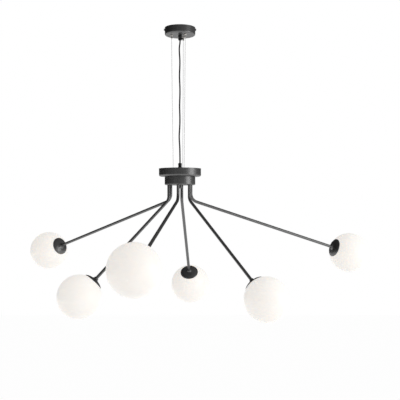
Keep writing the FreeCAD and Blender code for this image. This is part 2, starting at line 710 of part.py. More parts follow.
def lampholder():
    start = DISH_SEAT
    end = start + LAMPHOLDER_LENGTH
    barrel = LAMPHOLDER_RADIUS - LAMPHOLDER_STEP
    body = turned([
        (0, start),
        (LAMPHOLDER_RADIUS, start),
        (LAMPHOLDER_RADIUS, start + LAMPHOLDER_SKIRT),
        (barrel, start + LAMPHOLDER_SKIRT + LAMPHOLDER_STEP),
        (barrel, end - LAMPHOLDER_STEP),
        corner(barrel - LAMPHOLDER_STEP, end - LAMPHOLDER_STEP, LAMPHOLDER_STEP, 0, 90),
        (0, end),
    ])
    nipple = cylinder(LAMPHOLDER_NIPPLE, TUBE_END + LAMPHOLDER_NIPPLE_START, start)
    socket = Part.makeBox(BULB_BASE_WIDTH + 2 * FREE_GAP, BULB_BASE_THICK + 2 * FREE_GAP,
                          BULB_BASE_LENGTH + 1,
                          V(-BULB_BASE_WIDTH / 2 - FREE_GAP, -BULB_BASE_THICK / 2 - FREE_GAP,
                            end - BULB_BASE_LENGTH))
    return body.fuse(nipple).cut(socket)


def bulb():
    seat = DISH_SEAT + LAMPHOLDER_LENGTH
    tip = seat + BULB_LENGTH - BULB_BASE_LENGTH
    glass = turned([
        (0, seat),
        (BULB_RADIUS - BULB_PINCH, seat),
        (BULB_RADIUS, seat + BULB_PINCH_HEIGHT),
        (BULB_RADIUS, tip - BULB_RADIUS),
        corner(0, tip - BULB_RADIUS, BULB_RADIUS, 0, 90),
    ])
    base = Part.makeBox(BULB_BASE_WIDTH, BULB_BASE_THICK, BULB_BASE_LENGTH,
                        V(-BULB_BASE_WIDTH / 2, -BULB_BASE_THICK / 2, seat - BULB_BASE_LENGTH))
    return glass.fuse(base)


def globe_ring():
    """The threaded ring glued in the globe's hole, with a flange on the glass."""
    ring = turned([
        (RING_BORE, FLANGE_TOP),
        (RING_FLANGE, FLANGE_TOP),
        (RING_FLANGE, FLANGE_BOTTOM),
        (GLOBE_HOLE - FREE_GAP, FLANGE_BOTTOM),
        (GLOBE_HOLE - FREE_GAP, FLANGE_TOP + RING_LENGTH),
        (RING_BORE, FLANGE_TOP + RING_LENGTH),
    ])
    return ring


def glass_globe():
    shell = Part.makeSphere(GLOBE_RADIUS).cut(Part.makeSphere(GLOBE_RADIUS - GLASS))
    mouth = cylinder(GLOBE_HOLE, -GLOBE_RADIUS - 1, -GLOBE_RADIUS / 2)
    return shell.cut(mouth)


# --- write one file for each node ---------------------------------------------

def group(shapes):
    return Part.makeCompound(shapes)


def placed(shape, placement):
    copy = shape.copy()
    copy.Placement = placement.multiply(copy.Placement)
    return copy


def all_nodes():
    arms = range(ARM_COUNT)
    nodes = {
        "ceiling_bracket": ceiling_bracket(),
        "canopy_cup": ceiling_cup(),
        "canopy_side_screws": group([side_screw(-1), side_screw(1)]),
        "terminal_block": terminal_block(),
        "canopy_gland": cup_gland(),
        "canopy_gland_nut": cup_gland_nut(),
        "gripper_bodies": group([gripper_body(a) for a in WIRE_ANGLES]),
        "gripper_nuts": group([gripper_nut(a) for a in WIRE_ANGLES]),
        "power_cord": power_cord(),
        "wire_ferrules": group([wire_ferrule(a) for a in WIRE_ANGLES]),
        "hub_gland": hub_gland(),
        "hub_lid": hub_lid(),
        "hub_pan": hub_pan(),
        "hub_spacer": hub_spacer(),
        "hub_lower_cup": hub_lower_cup(),
        "swivel_bushes": group([swivel_bush(k) for k in arms]),
        "centre_rod": centre_rod(),
        "finial_nut": finial_nut(),
    }
    for i, angle in enumerate(WIRE_ANGLES):
        nodes["gripper_plunger_%d" % (i + 1)] = gripper_plunger(angle)
        nodes["suspension_wire_%d" % (i + 1)] = suspension_wire(angle)
    shade_pieces = {
        "dish": dish(),
        "lampholder": lampholder(),
        "bulb": bulb(),
        "globe_ring": globe_ring(),
        "glass_globe": glass_globe(),
    }
    for k in arms:
        nodes["arm_tube_%d" % (k + 1)] = arm_tube(k)
        for name, shape in shade_pieces.items():
            nodes["%s_%d" % (name, k + 1)] = placed(shape, shade_placement(k))
    return nodes


os.makedirs("parts", exist_ok=True)
for node, shape in all_nodes().items():
    if not shape.isValid():
        print("not valid:", node)
    shape.exportStep("parts/%s.step" % node)
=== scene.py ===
# %% [markdown]
# # A branch chandelier, finished in Blender
# The light hangs from a round ceiling cup on three thin steel wires and a black
# power cord. Under the two-tier hub, six bent tubes, long and short in turn, each
# end in a flared dish that holds an opal glass globe. The metalwork arrives as a
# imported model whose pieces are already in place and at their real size, so this
# lesson gives each piece its finish, and makes the parts that a construction model
# leaves plain: the cord, the twisted wires, screws, grip ribs and threads.

# %% Load the frame
import json
import math

import bpy
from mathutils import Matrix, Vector


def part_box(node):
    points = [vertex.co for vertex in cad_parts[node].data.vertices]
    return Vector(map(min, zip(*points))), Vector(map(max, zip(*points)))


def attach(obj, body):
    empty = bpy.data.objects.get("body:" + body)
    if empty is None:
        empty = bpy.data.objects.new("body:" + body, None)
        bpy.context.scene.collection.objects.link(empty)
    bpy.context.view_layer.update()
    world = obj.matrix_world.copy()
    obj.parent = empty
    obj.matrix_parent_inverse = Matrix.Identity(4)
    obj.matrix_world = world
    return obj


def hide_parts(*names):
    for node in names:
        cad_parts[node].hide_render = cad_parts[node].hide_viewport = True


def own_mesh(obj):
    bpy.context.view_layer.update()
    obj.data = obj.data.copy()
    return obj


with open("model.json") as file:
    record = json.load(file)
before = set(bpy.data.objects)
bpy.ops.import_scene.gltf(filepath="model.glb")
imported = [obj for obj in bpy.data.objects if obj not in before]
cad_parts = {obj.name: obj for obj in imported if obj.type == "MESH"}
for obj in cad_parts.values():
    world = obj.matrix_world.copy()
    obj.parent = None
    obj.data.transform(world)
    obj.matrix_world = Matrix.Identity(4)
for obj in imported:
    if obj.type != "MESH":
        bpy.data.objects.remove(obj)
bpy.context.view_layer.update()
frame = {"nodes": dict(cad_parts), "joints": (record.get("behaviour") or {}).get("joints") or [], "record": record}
ARMS = range(1, 7)
WIRES = range(1, 4)
MM = 0.001

# %% [markdown]
# ## The camera
# The photograph was taken from far off with a short telephoto lens: the globes that
# are nearer look larger, and by how much they do tells the distance. Fitting a
# pinhole camera to the six equal globes put it 2.77 m from the hub's axis, a little
# to the right, at the height of the hub's tubes, and tipped up by one degree. Nothing
# is shifted, because the picture's middle is the camera's own middle.

# %% Camera
SENSOR = 36.0
PHOTO_WIDTH = 400
FOCAL_PIXELS = 783.3
CAMERA_PLACE = Vector((0.0708, -2.7695, -0.660))
CAMERA_TIP_UP = 1.0

camera_data = bpy.data.cameras.new("camera")
camera_data.sensor_width = SENSOR
camera_data.lens = FOCAL_PIXELS * SENSOR / PHOTO_WIDTH
camera = bpy.data.objects.new("camera", camera_data)
camera.location = CAMERA_PLACE
camera.rotation_euler = (math.radians(90 + CAMERA_TIP_UP), 0, 0)
bpy.context.scene.collection.objects.link(camera)
bpy.context.scene.camera = camera
bpy.context.scene.view_settings.view_transform = "Standard"
print("lens: %.1f mm" % camera_data.lens)

# %% [markdown]
# ## Shader helpers
# Every finish here is a Principled shader with a few noise patterns behind it. The
# patterns read Object coordinates, which are metres in the light's own frame, so a
# noise scale of 1000 has grains of about a millimetre. Pictures could be wrapped on
# instead, but they need a seam and a size in pixels; a pattern that is computed has
# neither, and it looks right on a 1 mm wire and on a 150 mm globe. A number that is
# the same all over a surface is typed on the shader's own socket, and only what
# really varies is wired in.

# %% Shader helpers
def new_material(name):
    material = bpy.data.materials.new(name)
    material.use_nodes = True
    tree = material.node_tree
    return material, tree, tree.nodes["Principled BSDF"]


def object_noise(tree, scale, detail=3.0, roughness=0.5, stretch=None):
    """A noise pattern on Object coordinates; stretch squeezes it along an axis."""
    where = tree.nodes.new("ShaderNodeTexCoord").outputs["Object"]
    if stretch:
        mapping = tree.nodes.new("ShaderNodeMapping")
        mapping.inputs["Scale"].default_value = stretch
        tree.links.new(where, mapping.inputs["Vector"])
        where = mapping.outputs["Vector"]
    noise = tree.nodes.new("ShaderNodeTexNoise")
    noise.inputs["Scale"].default_value = scale
    noise.inputs["Detail"].default_value = detail
    noise.inputs["Roughness"].default_value = roughness
    tree.links.new(where, noise.inputs["Vector"])
    return noise.outputs["Fac"]


def spread(tree, value, low, high, source=(0.35, 0.65)):
    """Turns a pattern's usual range into another range."""
    ranged = tree.nodes.new("ShaderNodeMapRange")
    ranged.inputs["From Min"].default_value = source[0]
    ranged.inputs["From Max"].default_value = source[1]
    ranged.inputs["To Min"].default_value = low
    ranged.inputs["To Max"].default_value = high
    tree.links.new(value, ranged.inputs["Value"])
    return ranged.outputs["Result"]


def two_tone(tree, value, dark, light):
    """A colour between two near tones, led by a pattern."""
    ramp = tree.nodes.new("ShaderNodeValToRGB")
    ramp.color_ramp.elements[0].position = 0.35
    ramp.color_ramp.elements[1].position = 0.65
    ramp.color_ramp.elements[0].color = (*dark, 1)
    ramp.color_ramp.elements[1].color = (*light, 1)
    tree.links.new(value, ramp.inputs["Fac"])
    return ramp.outputs["Color"]


def bump(tree, height, distance, strength, after=None):
    """Tips the surface by a pattern; distance is the depth in metres."""
    relief = tree.nodes.new("ShaderNodeBump")
    relief.inputs["Strength"].default_value = strength
    relief.inputs["Distance"].default_value = distance
    tree.links.new(height, relief.inputs["Height"])
    if after:
        tree.links.new(after, relief.inputs["Normal"])
    return relief.outputs["Normal"]


# %% [markdown]
# ## Black powder coat
# The cup, hub, tubes and dishes are painted with a fine-textured black powder: it
# is sprayed on dry and melts into a skin with a very small orange peel. So the
# colour barely varies and the sheen is broad. Two bumps, one of about half a
# millimetre and one of a few millimetres, break up the highlight. A dark grey colour
# alone would look flat and dusty. In the photograph the paint is nearly black where
# it faces the dark side and pale grey where it faces the lamp, which only a black
# base with a strong reflection does, so its refractive index is set high.

# %% Black powder coat
POWDER_DARK = (0.0085, 0.0085, 0.0090)
POWDER_LIGHT = (0.0135, 0.0135, 0.0142)
POWDER_IOR = 1.8
POWDER_ROUGHNESS = (0.33, 0.41)


def powder_coat():
    material, tree, shader = new_material("black_powder_coat")
    cloud = object_noise(tree, 45, detail=5)
    grain = object_noise(tree, 1900, detail=2)
    peel = object_noise(tree, 420, detail=1)
    tree.links.new(two_tone(tree, cloud, POWDER_DARK, POWDER_LIGHT), shader.inputs["Base Color"])
    tree.links.new(spread(tree, grain, *POWDER_ROUGHNESS), shader.inputs["Roughness"])
    shader.inputs["IOR"].default_value = POWDER_IOR
    shader.inputs["Specular IOR Level"].default_value = 1.0
    fine = bump(tree, grain, 0.00010, 0.35)
    tree.links.new(bump(tree, peel, 0.00012, 0.25, after=fine), shader.inputs["Normal"])
    return material


# %% [markdown]
# ## Opal glass
# The globes are blown in two layers: clear glass over a thin milky one, acid-etched
# outside until it is satin. Light wanders about inside the milk, so shaded edges
# stay bright. Subsurface scattering of a few millimetres gives part of that, with a
# soft satin sheen on top and an almost invisible waviness from the blowing. The rest
# comes through the globe's hollow, where light bounces round dozens of times and
# leaves evenly on every side. It could be traced, with two walls of glass and many
# bounces, but that is slow and grainy, so a glow of the glass's own colour stands in
# for it. Glow and lamp together stay just under white, and keep the shading readable.

# %% Opal glass
OPAL_DARK = (0.765, 0.752, 0.734)
OPAL_LIGHT = (0.790, 0.782, 0.768)
OPAL_GLOW = (1.0, 0.985, 0.965)
OPAL_GLOW_STRENGTH = 0.63
OPAL_ROUGHNESS = (0.34, 0.46)
MILK_DEPTH = 0.006


def opal_glass():
    material, tree, shader = new_material("opal_glass")
    milk = object_noise(tree, 9, detail=3)
    satin = object_noise(tree, 2600, detail=2)
    wave = object_noise(tree, 16, detail=1)
    tree.links.new(two_tone(tree, milk, OPAL_DARK, OPAL_LIGHT), shader.inputs["Base Color"])
    tree.links.new(spread(tree, satin, *OPAL_ROUGHNESS), shader.inputs["Roughness"])
    shader.inputs["Subsurface Weight"].default_value = 0.35
    shader.inputs["Subsurface Radius"].default_value = (1.0, 0.85, 0.7)
    shader.inputs["Subsurface Scale"].default_value = MILK_DEPTH
    shader.inputs["IOR"].default_value = 1.5
    shader.inputs["Emission Color"].default_value = (*OPAL_GLOW, 1)
    shader.inputs["Emission Strength"].default_value = OPAL_GLOW_STRENGTH
    soft = bump(tree, wave, 0.0008, 0.25)
    tree.links.new(bump(tree, satin, 0.00003, 0.3, after=soft), shader.inputs["Normal"])
    return material


# %% [markdown]
# ## Metals and plastics
# The small parts need their own finishes: satin nickel on the wire grippers, drawn
# steel on the wires, zinc on the hidden bracket and rod, brass on the bushes, and
# moulded nylon on the glands. They are kin, so one function makes the metals, with
# fine scratches from a noise that is squeezed along one axis, and one makes the
# plastics, with the small even grain that a mould leaves. The numbers after a name
# are its darker and lighter tone, its roughness, and the axis or depth of its marks.

# %% Metals and plastics
ALONG_Z = (1, 1, 14)
ALONG_Y = (1, 12, 1)


def plain_metal(name, dark, light, roughness, scratch_axis=ALONG_Z):
    material, tree, shader = new_material(name)
    cloud = object_noise(tree, 160, detail=4)
    scratch = object_noise(tree, 900, detail=4, stretch=scratch_axis)
    tree.links.new(two_tone(tree, cloud, dark, light), shader.inputs["Base Color"])
    low, high = roughness - 0.07, roughness + 0.09
    tree.links.new(spread(tree, scratch, low, high), shader.inputs["Roughness"])
    shader.inputs["Metallic"].default_value = 1.0
    tree.links.new(bump(tree, scratch, 0.00003, 0.35), shader.inputs["Normal"])
    return material


def moulded_plastic(name, dark, light, roughness, grain_depth=0.00008, shine=0.5):
    material, tree, shader = new_material(name)
    cloud = object_noise(tree, 120, detail=3)
    grain = object_noise(tree, 2600, detail=2)
    tree.links.new(two_tone(tree, cloud, dark, light), shader.inputs["Base Color"])
    low, high = roughness - 0.05, roughness + 0.07
    tree.links.new(spread(tree, grain, low, high), shader.inputs["Roughness"])
    shader.inputs["Specular IOR Level"].default_value = shine
    tree.links.new(bump(tree, grain, grain_depth, 0.3), shader.inputs["Normal"])
    return material


finishes = {
    "black_powder_coat": powder_coat(),
    "opal_glass": opal_glass(),
    "nickel": plain_metal("satin_nickel", (0.60, 0.58, 0.55), (0.72, 0.70, 0.67), 0.28),
    "steel_wire": plain_metal("drawn_steel", (0.52, 0.52, 0.53), (0.66, 0.66, 0.67), 0.34),
    "zinc_sheet": plain_metal("zinc_plate", (0.50, 0.52, 0.54), (0.64, 0.65, 0.66), 0.38, ALONG_Y),
    "brass": plain_metal("turned_brass", (0.60, 0.43, 0.18), (0.72, 0.54, 0.26), 0.30, (1, 1, 20)),
    "aluminium_ring": plain_metal(
        "turned_aluminium", (0.60, 0.60, 0.61), (0.70, 0.70, 0.71), 0.36, (1, 1, 10)),
    "black_nylon": moulded_plastic(
        "black_nylon", (0.009, 0.009, 0.0095), (0.015, 0.015, 0.0155), 0.42),
    "white_nylon": moulded_plastic("white_nylon", (0.74, 0.73, 0.70), (0.80, 0.79, 0.76), 0.45),
    "white_ceramic": moulded_plastic(
        "glazed_ceramic", (0.76, 0.75, 0.72), (0.82, 0.81, 0.78), 0.18, 0.00003),
    "frosted_bulb": moulded_plastic(
        "frosted_bulb", (0.80, 0.78, 0.73), (0.86, 0.85, 0.80), 0.35, 0.00003),
    "black_cord": moulded_plastic(
        "cord_sheath", (0.004, 0.004, 0.0045), (0.008, 0.008, 0.0085), 0.60, shine=0.15),
}
print("finishes made:", ", ".join(sorted(finishes)))

# %% [markdown]
# ## Dress the frame
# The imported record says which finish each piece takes, so the pieces are dressed in
# one loop. Dressing them by hand would take sixty cells and hide a piece that was
# forgotten. Their meshes come from exact surfaces and are left alone.

# %% Dress the frame
for row in frame["record"]["subparts"]:
    piece = frame["nodes"][row["node"]]
    piece.data.materials.clear()
    piece.data.materials.append(finishes[row["material_slot"]])
print("dressed", len(frame["nodes"]), "pieces")

# %% [markdown]
# ## The power cord
# A round black cord runs from the gland under the cup to the gland on the hub. It is
# a little longer than the straight way, so it sways by a few millimetres. It could be
# dropped by a physics simulation, but the photograph shows just how it sways, and a
# curve can follow that. Its line is a NURBS spline over the same route that the
# construction model uses: such a spline turns softly, as a sheathed cord does. It is
# read once without a bevel, which gives the centre line, and once with a bevel, which
# gives the sheath.

# %% The power cord
CORD_DIAMETER = 5.0 * MM
CORD_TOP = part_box("power_cord")[1].z
CORD_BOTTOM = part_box("power_cord")[0].z
CORD_ROUTE_MM = [
    (0.0, 0.0, CORD_TOP / MM),
    (0.0, 0.0, -54.0),
    (-2.7, 0.5, -70.0),
    (-2.6, 0.9, -86.0),
    (-0.7, 0.7, -112.0),
    (-0.5, 0.1, -134.0),
    (-2.0, -0.6, -165.0),
    (-1.8, -0.9, -184.0),
    (-0.4, -0.5, -209.0),
    (-0.2, 0.3, -235.0),
    (-1.1, 0.9, -261.0),
    (-1.8, 0.8, -281.0),
    (-0.6, 0.2, -309.0),
    (-0.3, -0.5, -335.0),
    (-1.3, -0.9, -360.0),
    (-2.9, -0.6, -381.0),
    (-2.5, 0.0, -401.0),
    (-0.7, 0.5, -425.0),
    (-0.4, 0.4, -447.0),
    (0.0, 0.0, -468.0),
    (0.0, 0.0, CORD_BOTTOM / MM),
]


def route_curve(name, points, thickness):
    """A NURBS curve through a route, with a round section of that thickness."""
    curve = bpy.data.curves.new(name, "CURVE")
    curve.dimensions = "3D"
    curve.resolution_u = 12
    curve.bevel_depth = thickness / 2
    curve.bevel_resolution = 6
    curve.use_fill_caps = True
    spline = curve.splines.new("NURBS")
    spline.points.add(len(points) - 1)
    for point, place in zip(spline.points, points):
        point.co = (*place, 1)
    spline.order_u = 3
    spline.use_endpoint_u = True
    return curve


def read_curve(curve):
    """The curve as a plain mesh."""
    holder = bpy.data.objects.new("reading", curve)
    mesh = bpy.data.meshes.new_from_object(holder)
    bpy.data.objects.remove(holder)
    return mesh


def add_piece(name, mesh, material, body):
    piece = bpy.data.objects.new(name, mesh)
    bpy.context.scene.collection.objects.link(piece)
    piece.data.materials.clear()
    piece.data.materials.append(material)
    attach(piece, body)
    return piece


def shorten_with_height(piece):
    """Gives the piece its own copy of its mesh."""
    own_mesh(piece)


cord_points = [Vector(p) * MM for p in CORD_ROUTE_MM]
centre_line = read_curve(route_curve("cord_line", cord_points, 0))
cord_mesh = read_curve(route_curve("power_cord_sheath", cord_points, CORD_DIAMETER))
for face in cord_mesh.polygons:
    face.use_smooth = True
cord = add_piece("power_cord_sheath", cord_mesh, finishes["black_cord"], "canopy")
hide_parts("power_cord")
shorten_with_height(cord)

# %% [markdown]
# ## Geometry Nodes helpers
# Anything that repeats is grown by a node tree, because a tree keeps its rule and its
# sizes apart: the rule is wired once and the sizes are typed in for each use. These
# helpers start a tree with named inputs, hang it on an empty mesh, set each input by
# its identifier, and then turn the result into a plain mesh.

# %% Geometry Nodes helpers
SOCKETS = {float: "NodeSocketFloat", int: "NodeSocketInt", Vector: "NodeSocketVector",
           bpy.types.Material: "NodeSocketMaterial"}


def start_tree(name, inputs):
    """A geometry tree with named inputs, given as a dict of name to starting value."""
    tree = bpy.data.node_groups.new(name, "GeometryNodeTree")
    tree.interface.new_socket("Geometry", in_out="OUTPUT", socket_type="NodeSocketGeometry")
    for label, value in inputs.items():
        kind = next(socket for python, socket in SOCKETS.items() if isinstance(value, python))
        tree.interface.new_socket(label, in_out="INPUT", socket_type=kind)
    source = tree.nodes.new("NodeGroupInput")
    return tree, source.outputs


def node(tree, kind, links=None, values=None, **settings):
    """Adds a node, sets its options, types its values and wires its inputs."""
    made = tree.nodes.new(kind)
    for key, value in settings.items():
        setattr(made, key, value)
    for key, value in (values or {}).items():
        made.inputs[key].default_value = value
    for key, value in (links or {}).items():
        tree.links.new(value, made.inputs[key])
    return made


def math_node(tree, operation, a, b=None):
    made = tree.nodes.new("ShaderNodeMath")
    made.operation = operation
    for slot_number, value in enumerate([a] if b is None else [a, b]):
        if isinstance(value, (int, float)):
            made.inputs[slot_number].default_value = value
        else:
            tree.links.new(value, made.inputs[slot_number])
    return made.outputs[0]


def end_tree(tree, geometry, material):
    realized = node(tree, "GeometryNodeRealizeInstances", {"Geometry": geometry})
    dressed = node(tree, "GeometryNodeSetMaterial",
                   {"Geometry": realized.outputs["Geometry"], "Material": material})
    sink = tree.nodes.new("NodeGroupOutput")
    tree.links.new(dressed.outputs["Geometry"], sink.inputs["Geometry"])


def grow(tree, name, inputs, body):
    """Runs a tree with these inputs and keeps the result as a plain mesh piece."""
    holder = bpy.data.objects.new(name, bpy.data.meshes.new(name))
    bpy.context.scene.collection.objects.link(holder)
    modifier = holder.modifiers.new("grow", "NODES")
    modifier.node_group = tree
    for item in tree.interface.items_tree:
        if item.in_out == "INPUT" and item.name in inputs:
            modifier[item.identifier] = inputs[item.name]
    graph = bpy.context.evaluated_depsgraph_get()
    graph.update()
    mesh = bpy.data.meshes.new_from_object(holder.evaluated_get(graph))
    mesh.name = name
    holder.modifiers.clear()
    holder.data = mesh
    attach(holder, body)
    return holder


# %% [markdown]
# ## The suspension wires
# Each wire is steel rope of 1.2 mm: six strands twisted round a core. One smooth tube
# with a striped bump would do from afar, but from near its edge would be too straight.
# So the tree draws the core as a line, copies it six times, pushes every copy out to
# the strand circle with an angle that grows along the line, and gives all of them a
# round section. The wire is taut, but its hole in the hub lies a few millimetres
# further in than its gripper. So it leaves the gripper upright and then leans over,
# which a quadratic curve does by itself when its middle handle hangs straight under
# the gripper. It also keeps the wire clear of the plunger when the hub is drawn up.

# %% The suspension wires
WIRE_DIAMETER = 1.2 * MM
STRANDS = 6
STRAND_DIAMETER = WIRE_DIAMETER / 3
LAY_LENGTH = 9.0 * MM
STEPS_A_TURN = 9
HANDLE_DROP = 100 * MM


def twisted_wire_tree():
    tree, given = start_tree("twisted_wire", {
        "Foot": Vector(), "Handle": Vector(), "Top": Vector(),
        "Strand": 1.0, "Turns": 1.0, "Steps": 1, "Finish": finishes["steel_wire"]})
    line = node(tree, "GeometryNodeCurveQuadraticBezier",
                {"Start": given["Foot"], "Middle": given["Handle"], "End": given["Top"]},
                {"Resolution": 64})
    stepped = node(tree, "GeometryNodeResampleCurve",
                   {"Curve": line.outputs["Curve"], "Count": given["Steps"]})
    copies = node(tree, "GeometryNodeDuplicateElements", {"Geometry": stepped.outputs["Curve"]},
                  {"Amount": STRANDS}, domain="SPLINE")
    along = node(tree, "GeometryNodeSplineParameter").outputs["Factor"]
    turns_so_far = math_node(tree, "MULTIPLY", along, given["Turns"])
    turned = math_node(tree, "MULTIPLY", turns_so_far, math.tau)
    phase = math_node(tree, "MULTIPLY", copies.outputs["Duplicate Index"], math.tau / STRANDS)
    angle = math_node(tree, "ADD", turned, phase)
    out_x = math_node(tree, "MULTIPLY", math_node(tree, "COSINE", angle), given["Strand"])
    out_y = math_node(tree, "MULTIPLY", math_node(tree, "SINE", angle), given["Strand"])
    offset = node(tree, "ShaderNodeCombineXYZ", {"X": out_x, "Y": out_y})
    laid = node(tree, "GeometryNodeSetPosition",
                {"Geometry": copies.outputs["Geometry"], "Offset": offset.outputs["Vector"]})
    joined = node(tree, "GeometryNodeJoinGeometry")
    tree.links.new(laid.outputs["Geometry"], joined.inputs["Geometry"])
    tree.links.new(line.outputs["Curve"], joined.inputs["Geometry"])
    half = math_node(tree, "MULTIPLY", given["Strand"], 0.5)
    section = node(tree, "GeometryNodeCurvePrimitiveCircle", {"Radius": half}, {"Resolution": 6})
    wire = node(tree, "GeometryNodeCurveToMesh",
                {"Curve": joined.outputs["Geometry"], "Profile Curve": section.outputs["Curve"]},
                {"Fill Caps": True})
    end_tree(tree, wire.outputs["Mesh"], given["Finish"])
    return tree


def wire_ends(number):
    """The middle of a wire's two ends, found from its own end rings."""
    mesh = frame["nodes"]["suspension_wire_%d" % number].data
    low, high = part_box("suspension_wire_%d" % number)
    ends = []
    for level in (low.z, high.z):
        ring = [v.co for v in mesh.vertices if abs(v.co.z - level) < 0.2 * MM]
        ends.append(sum(ring, Vector()) / len(ring))
    return ends


def leaning_line(foot, handle, top, count=12):
    """Points along the same curve, from the top down."""
    shares = [i / count for i in range(count + 1)]
    return [top * (1 - s) ** 2 + handle * 2 * s * (1 - s) + foot * s ** 2 for s in shares]


wire_tree = twisted_wire_tree()
for number in WIRES:
    foot, top = wire_ends(number)
    handle = top - Vector((0, 0, HANDLE_DROP))
    path = leaning_line(foot, handle, top)
    length = sum((b - a).length for a, b in zip(path, path[1:]))
    turns = length / LAY_LENGTH
    wire = grow(wire_tree, "twisted_wire_%d" % number, {
        "Foot": foot, "Handle": handle, "Top": top, "Strand": STRAND_DIAMETER, "Turns": turns,
        "Steps": round(turns * STEPS_A_TURN), "Finish": finishes["steel_wire"]},
        "canopy")
    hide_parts("suspension_wire_%d" % number)
    shorten_with_height(wire)
    print("wire", number, "%.3f m, %.0f turns of its strands" % (length, turns))

# %% [markdown]
# ## Small screws
# Each dish is held on its tube by a little set screw from below, and the terminal
# block inside the cup has eight clamping screws. They differ only in size and in the
# tool that turns them. Each could be modelled by hand, but one tree makes them all: a
# slightly tapered head with a shank, from which a prism is cut. Six sides give a
# hexagon socket; four sides, stretched, give a slot. The head is then set out in a
# row and turned to face the way it is driven from.

# %% Small screws
HEAD_TAPER = 0.86
SHANK_SUNK = 0.45  # how far the shank's middle lies under the seat, as a share of its length


def screw_tree():
    tree, given = start_tree("small_screws", {
        "Radius": 1.0, "Height": 1.0, "Shank Radius": 1.0, "Shank Length": 1.0, "Sides": 6,
        "Recess": Vector(), "Place": Vector(), "Step": Vector(), "Count": 1, "Towards": Vector(),
        "Finish": finishes["black_powder_coat"]})
    edge = math_node(tree, "MULTIPLY", given["Radius"], HEAD_TAPER)
    head = node(tree, "GeometryNodeMeshCone", {"Radius Bottom": given["Radius"], "Radius Top": edge,
                "Depth": given["Height"]}, {"Vertices": 28})
    shank = node(tree, "GeometryNodeMeshCylinder",
                 {"Radius": given["Shank Radius"], "Depth": given["Shank Length"]},
                 {"Vertices": 20})
    down = node(tree, "ShaderNodeCombineXYZ",
                {"Z": math_node(tree, "MULTIPLY", given["Shank Length"], -SHANK_SUNK)})
    under = node(tree, "GeometryNodeTransform",
                 {"Geometry": shank.outputs["Mesh"], "Translation": down.outputs["Vector"]})
    whole = node(tree, "GeometryNodeMeshBoolean", operation="UNION")
    tree.links.new(head.outputs["Mesh"], whole.inputs["Mesh 2"])
    tree.links.new(under.outputs["Geometry"], whole.inputs["Mesh 2"])
    prism = node(tree, "GeometryNodeMeshCylinder", {"Vertices": given["Sides"]},
                 {"Radius": 1.0, "Depth": 2.0})
    squared = node(tree, "GeometryNodeTransform", {"Geometry": prism.outputs["Mesh"]},
                   {"Rotation": (0, 0, math.radians(45))})
    up = node(tree, "ShaderNodeCombineXYZ", {"Z": given["Height"]})
    cutter = node(tree, "GeometryNodeTransform", {"Geometry": squared.outputs["Geometry"],
                  "Scale": given["Recess"], "Translation": up.outputs["Vector"]})
    cut = node(tree, "GeometryNodeMeshBoolean", {"Mesh 1": whole.outputs["Mesh"]},
               operation="DIFFERENCE")
    tree.links.new(cutter.outputs["Geometry"], cut.inputs["Mesh 2"])
    row = node(tree, "GeometryNodeMeshLine", {"Count": given["Count"],
               "Start Location": given["Place"], "Offset": given["Step"]}, mode="OFFSET")
    facing = node(tree, "FunctionNodeAlignRotationToVector", {"Vector": given["Towards"]},
                  axis="Z")
    set_out = node(tree, "GeometryNodeInstanceOnPoints", {"Points": row.outputs["Mesh"],
                   "Instance": cut.outputs["Mesh"], "Rotation": facing.outputs["Rotation"]})
    end_tree(tree, set_out.outputs["Instances"], given["Finish"])
    return tree


# The neck's screw hole, from the globe's centre, and the depth at which a head seats.
SCREW_LEVEL = -84.6 * MM
SCREW_SEAT = 7.05 * MM
TERMINAL_WAYS = 4
TERMINAL_ROWS = (("front", 0.235), ("back", 0.765))  # as a share of the block's width
globe_turns = {j["name"]: j for j in frame["joints"] if j["name"].startswith("globe_")}

screws = screw_tree()
for number in ARMS:
    turn = globe_turns["globe_%d_turn" % number]
    outward = Vector(turn["axis"]).normalized()
    downward = (Vector((0, 0, -1)) + outward * outward.z).normalized()
    place = Vector(turn["pos_m"]) + outward * SCREW_LEVEL + downward * SCREW_SEAT
    screw = grow(screws, "set_screw_%d" % number, {
        "Radius": 1.9 * MM, "Height": 1.2 * MM, "Shank Radius": 1.1 * MM, "Shank Length": 1.5 * MM,
        "Sides": 6, "Recess": Vector((0.95, 0.95, 0.7)) * MM, "Place": place, "Step": Vector(),
        "Count": 1, "Towards": downward, "Finish": finishes["black_powder_coat"]},
        "arm_%d" % number)

block_low, block_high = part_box("terminal_block")
way = (block_high.x - block_low.x) / TERMINAL_WAYS
for side, share in TERMINAL_ROWS:
    row_y = block_low.y + share * (block_high.y - block_low.y)
    grow(screws, "terminal_screws_" + side, {
        "Radius": 1.6 * MM, "Height": 1.1 * MM, "Shank Radius": 1.0 * MM, "Shank Length": 1.4 * MM,
        "Sides": 4, "Recess": Vector((3.2, 0.45, 0.5)) * MM,
        "Place": Vector((block_low.x + way / 2, row_y, block_low.z + 0.05 * MM)),
        "Step": Vector((way, 0, 0)), "Count": TERMINAL_WAYS, "Towards": Vector((0, 0, -1)),
        "Finish": finishes["brass"]}, "canopy")
print("set screws: 6, terminal screws: 8; a set screw has", len(screw.data.polygons), "faces")

# %% [markdown]
# ## Grip ribs
# The cord glands are tightened by hand, so their caps and the clamp knob have fine
# ribs round them. A bump map could fake them, but it wouldn't show at the edge of the
# cap, where ribs are seen best. So a rib is a thin rod, half sunk in the cap. The tree
# puts a circle of points round an axis and stands one rod on each, which is how a
# toolmaker would cut the mould as well: one groove, repeated by an even angle.

